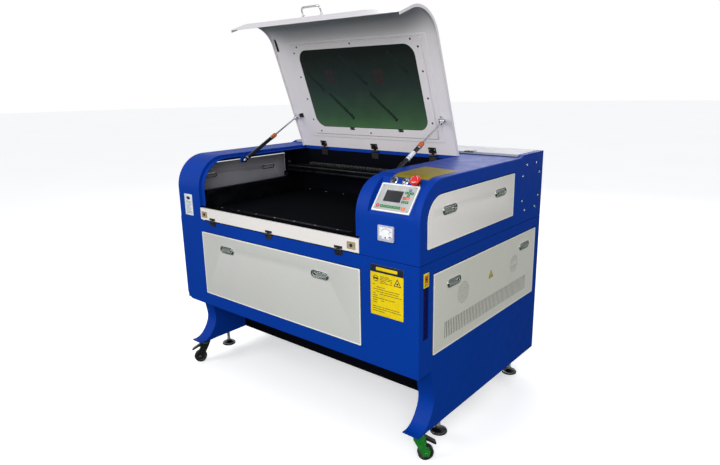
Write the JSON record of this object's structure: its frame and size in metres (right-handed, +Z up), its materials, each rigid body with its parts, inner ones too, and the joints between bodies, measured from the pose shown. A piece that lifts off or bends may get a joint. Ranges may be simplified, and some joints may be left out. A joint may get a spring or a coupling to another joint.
{
  "type": "cabinet laser cutter",
  "caption": "Floor-standing cabinet laser cutter with a raised curved windowed lid on gas struts, front flap, service doors, moving gantry and bed, on casters.",
  "frame": {"origin": "on the floor under the middle of the bounding box", "axes": "+X to the machine's right seen from its front, +Y from the front to the back, +Z up"},
  "size_m": [1.4474, 1.0487, 1.7194],
  "materials": {
    "blue_paint": "powder coat, semi-gloss",
    "white_paint": "powder coat, fine texture",
    "lid_paint": "powder coat, semi-gloss",
    "black_paint": "powder coat, matt",
    "dark_panel": "powder coat, matt",
    "black_hinge": "moulded, matt",
    "chrome": "polished",
    "steel": "turned",
    "black_tube": "gloss",
    "bed_metal": "dark anodised",
    "rail_metal": "satin anodised",
    "acrylic": "green tinted, clear",
    "tube_glass": "clear",
    "inlet_plastic": "moulded",
    "panel_plastic": "printed overlay",
    "meter_plastic": "clear over white dial",
    "red_plastic": "moulded",
    "button_plastic": "moulded",
    "fork_green": "gloss",
    "fork_dark": "gloss",
    "tread": "moulded nylon",
    "foot_rubber": "matt"
  },
  "bodies": {
    "cabinet": {"left_leg": "blue_paint", "right_leg": "blue_paint", "cross_panel": "dark_panel", "cabinet_floor": "blue_paint", "lower_front_frame": "blue_paint", "lower_left_side": "blue_paint", "lower_right_side": "blue_paint", "back_panel": "blue_paint", "power_inlet": "inlet_plastic", "left_console": "blue_paint", "right_console": "blue_paint", "lid_ledges": "blue_paint", "rear_deck": "blue_paint", "rear_bulkhead": "black_paint", "left_partition": "black_paint", "right_partition": "black_paint", "laser_tube": "tube_glass", "y_rails": "rail_metal", "lift_posts": "steel", "hinge_bases": "black_hinge", "control_panel": "panel_plastic", "ammeter": "meter_plastic"},
    "lid": {"lid_shell": "lid_paint", "window_pane": "acrylic", "window_frame": "lid_paint", "lid_handle": "chrome", "lid_hinge_leaves": "black_hinge", "strut_studs": "chrome"},
    "left_strut_tube": {"left_strut_tube": "black_tube"},
    "left_strut_rod": {"left_strut_rod": "chrome"},
    "right_strut_tube": {"right_strut_tube": "black_tube"},
    "right_strut_rod": {"right_strut_rod": "chrome"},
    "front_flap": {"front_flap": "white_paint", "flap_hinge_leaves": "black_hinge"},
    "front_door": {"front_door": "white_paint"},
    "front_door_latches": {"front_door_latches": "chrome"},
    "right_upper_door": {"right_upper_door": "white_paint"},
    "right_upper_latches": {"right_upper_latches": "chrome"},
    "right_lower_door": {"right_lower_door": "white_paint"},
    "right_lower_latches": {"right_lower_latches": "chrome"},
    "left_upper_door": {"left_upper_door": "white_paint"},
    "left_upper_latches": {"left_upper_latches": "chrome"},
    "left_lower_door": {"left_lower_door": "white_paint"},
    "left_lower_latches": {"left_lower_latches": "chrome"},
    "tube_lid": {"tube_lid": "white_paint"},
    "estop_button": {"estop_button": "red_plastic"},
    "start_button": {"start_button": "button_plastic"},
    "key_switch": {"key_switch": "chrome"},
    "gantry": {"gantry": "rail_metal"},
    "laser_head": {"laser_head": "rail_metal"},
    "work_bed": {"work_bed": "bed_metal"},
    "levelling_feet": {"levelling_feet": "foot_rubber"},
    "front_left_swivel": {"front_left_fork": "fork_dark"},
    "front_right_swivel": {"front_right_fork": "fork_green"},
    "rear_left_swivel": {"rear_left_fork": "fork_dark"},
    "rear_right_swivel": {"rear_right_fork": "fork_dark"},
    "front_left_wheel": {"front_left_wheel": "tread"},
    "front_right_wheel": {"front_right_wheel": "tread"},
    "rear_left_wheel": {"rear_left_wheel": "tread"},
    "rear_right_wheel": {"rear_right_wheel": "tread"}
  },
  "joints": [
    {"name": "lid_hinge", "type": "hinge", "parent": "cabinet", "child": "lid", "pos_m": [-0.048, 0.1785, 1.067], "axis": [-1, 0, 0], "range_deg": [-70, 0]},
    {"name": "left_strut_pivot", "type": "hinge", "parent": "cabinet", "child": "left_strut_tube", "pos_m": [-0.499, -0.2635, 1.04], "axis": [1, 0, 0], "range_deg": [-25.04, 0.02]},
    {"name": "left_strut_stroke", "type": "slide", "parent": "left_strut_tube", "child": "left_strut_rod", "axis": [0, 0.8877, 0.4605], "range_m": [-0.1489, 0.0001]},
    {"name": "right_strut_pivot", "type": "hinge", "parent": "cabinet", "child": "right_strut_tube", "pos_m": [0.399, -0.2635, 1.04], "axis": [1, 0, 0], "range_deg": [-25.04, 0.02]},
    {"name": "right_strut_stroke", "type": "slide", "parent": "right_strut_tube", "child": "right_strut_rod", "axis": [0, 0.8877, 0.4605], "range_m": [-0.1489, 0.0001]},
    {"name": "flap_hinge", "type": "hinge", "parent": "cabinet", "child": "front_flap", "pos_m": [-0.059, -0.52, 0.788], "axis": [1, 0, 0], "range_deg": [0, 170]},
    {"name": "front_door_hinge", "type": "hinge", "parent": "cabinet", "child": "front_door", "pos_m": [-0.048, -0.5175, 0.423], "axis": [1, 0, 0], "range_deg": [0, 95]},
    {"name": "right_upper_door_hinge", "type": "hinge", "parent": "cabinet", "child": "right_upper_door", "pos_m": [0.702, -0.1405, 0.836], "axis": [0, 1, 0], "range_deg": [0, 95]},
    {"name": "right_lower_door_hinge", "type": "hinge", "parent": "cabinet", "child": "right_lower_door", "pos_m": [0.702, 0.0015, 0.426], "axis": [0, 1, 0], "range_deg": [0, 95]},
    {"name": "left_upper_door_hinge", "type": "hinge", "parent": "cabinet", "child": "left_upper_door", "pos_m": [-0.702, -0.1405, 0.836], "axis": [0, -1, 0], "range_deg": [0, 95]},
    {"name": "left_lower_door_hinge", "type": "hinge", "parent": "cabinet", "child": "left_lower_door", "pos_m": [-0.702, 0.0015, 0.426], "axis": [0, -1, 0], "range_deg": [0, 95]},
    {"name": "tube_lid_hinge", "type": "hinge", "parent": "cabinet", "child": "tube_lid", "pos_m": [0, 0.2635, 1.086], "axis": [1, 0, 0], "range_deg": [0, 100]},
    {"name": "front_door_latch_push", "type": "slide", "parent": "front_door", "child": "front_door_latches", "axis": [0, 1, 0], "range_m": [0, 0.003], "stiffness_N_per_m": 600},
    {"name": "right_upper_latch_push", "type": "slide", "parent": "right_upper_door", "child": "right_upper_latches", "axis": [-1, 0, 0], "range_m": [0, 0.003], "stiffness_N_per_m": 600},
    {"name": "right_lower_latch_push", "type": "slide", "parent": "right_lower_door", "child": "right_lower_latches", "axis": [-1, 0, 0], "range_m": [0, 0.003], "stiffness_N_per_m": 600},
    {"name": "left_upper_latch_push", "type": "slide", "parent": "left_upper_door", "child": "left_upper_latches", "axis": [1, 0, 0], "range_m": [0, 0.003], "stiffness_N_per_m": 600},
    {"name": "left_lower_latch_push", "type": "slide", "parent": "left_lower_door", "child": "left_lower_latches", "axis": [1, 0, 0], "range_m": [0, 0.003], "stiffness_N_per_m": 600},
    {"name": "estop_press", "type": "slide", "parent": "cabinet", "child": "estop_button", "axis": [0, 0.7771, -0.6293], "range_m": [0, 0.004]},
    {"name": "start_press", "type": "slide", "parent": "cabinet", "child": "start_button", "axis": [0, 0.7771, -0.6293], "range_m": [0, 0.003], "stiffness_N_per_m": 300},
    {"name": "key_turn", "type": "hinge", "parent": "cabinet", "child": "key_switch", "pos_m": [0.58, -0.43002, 1.0585], "axis": [0, -0.7771, 0.6293], "range_deg": [-90, 0]},
    {"name": "gantry_travel", "type": "slide", "parent": "cabinet", "child": "gantry", "axis": [0, 1, 0], "range_m": [-0.5, 0.04]},
    {"name": "head_travel", "type": "slide", "parent": "gantry", "child": "laser_head", "axis": [1, 0, 0], "range_m": [-0.78, 0.02]},
    {"name": "bed_lift", "type": "slide", "parent": "cabinet", "child": "work_bed", "axis": [0, 0, 1], "range_m": [-0.25, 0]},
    {"name": "feet_adjust", "type": "slide", "parent": "cabinet", "child": "levelling_feet", "axis": [0, 0, 1], "range_m": [-0.045, 0.02]},
    {"name": "front_left_swivel_turn", "type": "hinge", "parent": "cabinet", "child": "front_left_swivel", "pos_m": [-0.665, -0.4655, 0.112], "axis": [0, 0, 1], "continuous": true},
    {"name": "front_left_wheel_roll", "type": "hinge", "parent": "front_left_swivel", "child": "front_left_wheel", "pos_m": [-0.68621, -0.48671, 0.031], "axis": [0.7071, -0.7071, 0], "continuous": true},
    {"name": "front_right_swivel_turn", "type": "hinge", "parent": "cabinet", "child": "front_right_swivel", "pos_m": [0.665, -0.4655, 0.112], "axis": [0, 0, 1], "continuous": true},
    {"name": "front_right_wheel_roll", "type": "hinge", "parent": "front_right_swivel", "child": "front_right_wheel", "pos_m": [0.68621, -0.44429, 0.031], "axis": [-0.7071, 0.7071, 0], "continuous": true},
    {"name": "rear_left_swivel_turn", "type": "hinge", "parent": "cabinet", "child": "rear_left_swivel", "pos_m": [-0.54, 0.4245, 0.112], "axis": [0, 0, 1], "continuous": true},
    {"name": "rear_left_wheel_roll", "type": "hinge", "parent": "rear_left_swivel", "child": "rear_left_wheel", "pos_m": [-0.555, 0.45048, 0.031], "axis": [-0.866, -0.5, 0], "continuous": true},
    {"name": "rear_right_swivel_turn", "type": "hinge", "parent": "cabinet", "child": "rear_right_swivel", "pos_m": [0.54, 0.4245, 0.112], "axis": [0, 0, 1], "continuous": true},
    {"name": "rear_right_wheel_roll", "type": "hinge", "parent": "rear_right_swivel", "child": "rear_right_wheel", "pos_m": [0.54776, 0.45348, 0.031], "axis": [-0.9659, 0.2588, 0], "continuous": true}
  ],
  "couplings": [
    {"joint": "left_strut_pivot", "follows": "lid_hinge", "ratio": 0.35748},
    {"joint": "left_strut_stroke", "follows": "lid_hinge", "m_per_rad": 0.12179},
    {"joint": "right_strut_pivot", "follows": "lid_hinge", "ratio": 0.35748},
    {"joint": "right_strut_stroke", "follows": "lid_hinge", "m_per_rad": 0.12179}
  ]
}
